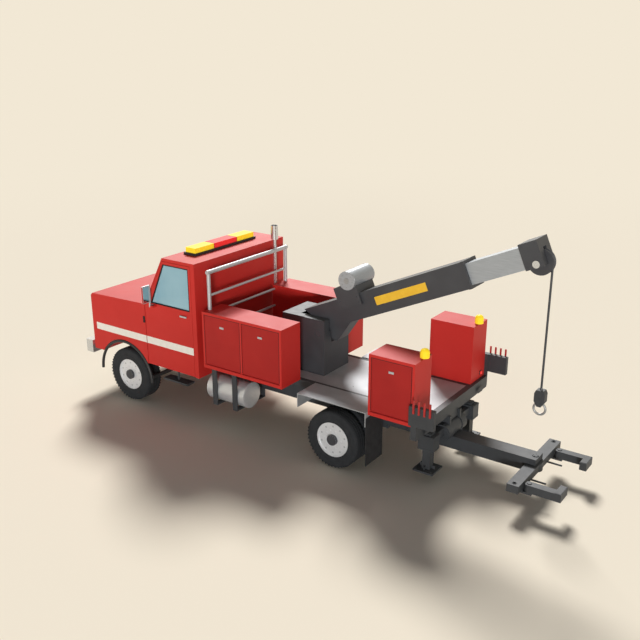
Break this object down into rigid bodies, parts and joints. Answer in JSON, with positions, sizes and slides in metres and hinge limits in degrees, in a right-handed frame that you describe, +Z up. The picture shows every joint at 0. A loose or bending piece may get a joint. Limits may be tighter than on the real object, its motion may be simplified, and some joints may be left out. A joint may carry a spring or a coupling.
{
  "type": "tow truck",
  "caption": "Two-axle recovery truck with a tilting hood, twin rear tyres, side toolboxes, a luffing and telescoping boom with winch line and ring, a rear wheel-lift fork and drop legs",
  "frame": {"origin": "Centre of the whole truck's box in plan, on the ground under the wheels", "axes": "+X to the front of the truck, +Y to its left, +Z up"},
  "size_m": [9.07, 2.9, 3.809],
  "materials": {
    "body_red": "gloss red paint",
    "door_red": "darker satin red paint",
    "chassis_grey": "satin dark grey paint",
    "boom_grey": "satin dark grey paint",
    "silver": "satin aluminium",
    "bright": "bright chrome",
    "tyre": "matte black rubber",
    "rubber": "matte black rubber",
    "glass": "clear, slightly blue glass",
    "amber": "translucent amber plastic",
    "red_lens": "translucent red plastic",
    "clear_lens": "clear lamp lens",
    "black_plastic": "matte black plastic",
    "interior": "dark grey seat fabric",
    "lever_red": "gloss red grips",
    "line": "galvanised steel"
  },
  "bodies": {
    "chassis": {"chassis_frame": "chassis_grey", "engine_and_driveline": "chassis_grey", "axles_and_springs": "chassis_grey", "cab_shell": "body_red", "windscreen": "glass", "cab_interior": "interior", "front_fenders": "black_plastic", "front_bumper": "bright", "light_bar": "black_plastic", "amber_lamps": "amber", "red_lamps": "red_lens", "headache_rack": "silver", "exhaust_stack": "bright", "front_toolboxes": "body_red", "rear_toolboxes": "body_red", "deck_and_fenders": "silver", "mudflaps": "rubber", "fuel_tank": "silver", "steps_and_straps": "chassis_grey", "mast": "chassis_grey", "rear_frame": "chassis_grey", "valve_boxes": "chassis_grey", "control_levers": "lever_red"},
    "steering_knuckle_left": {"knuckle_left": "chassis_grey"},
    "front_wheel_left": {"tyre_front_left": "tyre", "wheel_front_left": "silver"},
    "rear_wheels_left": {"tyres_rear_left": "tyre", "wheel_rear_left": "silver"},
    "door_left": {"cab_door_left": "body_red", "door_glass_left": "glass"},
    "front_box_door_left_1_lid": {"front_box_door_left_1": "door_red"},
    "front_box_door_left_2_lid": {"front_box_door_left_2": "door_red"},
    "rear_box_door_left_lid": {"rear_box_door_left": "door_red"},
    "leg_left": {"outrigger_left": "chassis_grey"},
    "fork_left": {"wheel_fork_left": "chassis_grey"},
    "steering_knuckle_right": {"knuckle_right": "chassis_grey"},
    "front_wheel_right": {"tyre_front_right": "tyre", "wheel_front_right": "silver"},
    "rear_wheels_right": {"tyres_rear_right": "tyre", "wheel_rear_right": "silver"},
    "door_right": {"cab_door_right": "body_red", "door_glass_right": "glass"},
    "front_box_door_right_1_lid": {"front_box_door_right_1": "door_red"},
    "front_box_door_right_2_lid": {"front_box_door_right_2": "door_red"},
    "rear_box_door_right_lid": {"rear_box_door_right": "door_red"},
    "leg_right": {"outrigger_right": "chassis_grey"},
    "fork_right": {"wheel_fork_right": "chassis_grey"},
    "tilt_hood": {"hood": "body_red", "grille": "black_plastic", "headlamps": "clear_lens"},
    "lifting_boom": {"boom": "boom_grey"},
    "winch": {"winch_drum": "line"},
    "extension": {"boom_extension": "silver", "boom_head": "boom_grey"},
    "sheave_wheel": {"sheave": "line"},
    "hook": {"hoist_line": "line", "hook_ring": "silver"},
    "underlift": {"underlift_boom": "chassis_grey"},
    "fork_crossbar": {"crossbar": "chassis_grey"}
  },
  "joints": [
    {"name": "steer_left", "type": "hinge", "parent": "chassis", "child": "steering_knuckle_left", "pos_m": [3.395, 0.93, 0.495], "axis": [0, 0, 1], "range_deg": [-28, 28]},
    {"name": "spin_front_left", "type": "hinge", "parent": "steering_knuckle_left", "child": "front_wheel_left", "pos_m": [3.395, 1.04, 0.495], "axis": [0, 1, 0], "continuous": true},
    {"name": "spin_rear_left", "type": "hinge", "parent": "chassis", "child": "rear_wheels_left", "pos_m": [-1.085, 1.075, 0.47], "axis": [0, 1, 0], "continuous": true},
    {"name": "door_left_hinge", "type": "hinge", "parent": "chassis", "child": "door_left", "pos_m": [2.866, 1.2, 1.5], "axis": [0, 0, -1], "range_deg": [0, 70]},
    {"name": "front_box_door_left_1_hinge", "type": "hinge", "parent": "chassis", "child": "front_box_door_left_1_lid", "pos_m": [0.3, 1.2085, 1.144], "axis": [-1, 0, 0], "range_deg": [0, 90]},
    {"name": "front_box_door_left_2_hinge", "type": "hinge", "parent": "chassis", "child": "front_box_door_left_2_lid", "pos_m": [1.1, 1.2085, 1.144], "axis": [-1, 0, 0], "range_deg": [0, 90]},
    {"name": "rear_box_door_left_hinge", "type": "hinge", "parent": "chassis", "child": "rear_box_door_left_lid", "pos_m": [-2.105, 1.2085, 1.144], "axis": [-1, 0, 0], "range_deg": [0, 90]},
    {"name": "leg_left_drop", "type": "slide", "parent": "chassis", "child": "leg_left", "axis": [0, 0, -1], "range_m": [0, 0.18]},
    {"name": "steer_right", "type": "hinge", "parent": "chassis", "child": "steering_knuckle_right", "pos_m": [3.395, -0.93, 0.495], "axis": [0, 0, 1], "range_deg": [-28, 28]},
    {"name": "spin_front_right", "type": "hinge", "parent": "steering_knuckle_right", "child": "front_wheel_right", "pos_m": [3.395, -1.04, 0.495], "axis": [0, 1, 0], "continuous": true},
    {"name": "spin_rear_right", "type": "hinge", "parent": "chassis", "child": "rear_wheels_right", "pos_m": [-1.085, -1.075, 0.47], "axis": [0, 1, 0], "continuous": true},
    {"name": "door_right_hinge", "type": "hinge", "parent": "chassis", "child": "door_right", "pos_m": [2.866, -1.2, 1.5], "axis": [0, 0, 1], "range_deg": [0, 70]},
    {"name": "front_box_door_right_1_hinge", "type": "hinge", "parent": "chassis", "child": "front_box_door_right_1_lid", "pos_m": [0.3, -1.2085, 1.144], "axis": [1, 0, 0], "range_deg": [0, 90]},
    {"name": "front_box_door_right_2_hinge", "type": "hinge", "parent": "chassis", "child": "front_box_door_right_2_lid", "pos_m": [1.1, -1.2085, 1.144], "axis": [1, 0, 0], "range_deg": [0, 90]},
    {"name": "rear_box_door_right_hinge", "type": "hinge", "parent": "chassis", "child": "rear_box_door_right_lid", "pos_m": [-2.105, -1.2085, 1.144], "axis": [1, 0, 0], "range_deg": [0, 90]},
    {"name": "leg_right_drop", "type": "slide", "parent": "chassis", "child": "leg_right", "axis": [0, 0, -1], "range_m": [0, 0.18]},
    {"name": "hood_tilt", "type": "hinge", "parent": "chassis", "child": "tilt_hood", "pos_m": [4.315, 0, 0.93], "axis": [0, 1, 0], "range_deg": [0, 60]},
    {"name": "boom_luff", "type": "hinge", "parent": "chassis", "child": "lifting_boom", "pos_m": [-0.225, 0, 1.8], "axis": [0, 1, 0], "range_deg": [-17, 26]},
    {"name": "winch_spin", "type": "hinge", "parent": "lifting_boom", "child": "winch", "pos_m": [-0.7357, 0, 2.7575], "axis": [0, 1, 0], "continuous": true},
    {"name": "boom_extend", "type": "slide", "parent": "lifting_boom", "child": "extension", "axis": [0.9135, 0, -0.4067], "range_m": [-0.6, 0.75]},
    {"name": "sheave_spin", "type": "hinge", "parent": "extension", "child": "sheave_wheel", "pos_m": [-3.72614, 0, 3.46827], "axis": [0, 1, 0], "continuous": true},
    {"name": "hook_swing", "type": "hinge", "parent": "extension", "child": "hook", "pos_m": [-3.72614, 0, 3.46827], "axis": [0, 1, 0], "range_deg": [-26, 17]},
    {"name": "underlift_tilt", "type": "hinge", "parent": "chassis", "child": "underlift", "pos_m": [-2.505, 0, 0.63], "axis": [0, 1, 0], "range_deg": [-6, 14]},
    {"name": "crossbar_swivel", "type": "hinge", "parent": "underlift", "child": "fork_crossbar", "pos_m": [-3.895, 0, 0.45], "axis": [0, 0, 1], "range_deg": [-15, 15]},
    {"name": "fork_left_swing", "type": "hinge", "parent": "fork_crossbar", "child": "fork_left", "pos_m": [-4.053, 0.61, 0.36], "axis": [0, 0, -1], "range_deg": [0, 70]},
    {"name": "fork_right_swing", "type": "hinge", "parent": "fork_crossbar", "child": "fork_right", "pos_m": [-4.053, -0.61, 0.36], "axis": [0, 0, 1], "range_deg": [0, 70]}
  ],
  "couplings": [
    {"joint": "steer_right", "follows": "steer_left", "ratio": 1},
    {"joint": "hook_swing", "follows": "boom_luff", "ratio": -1}
  ]
}
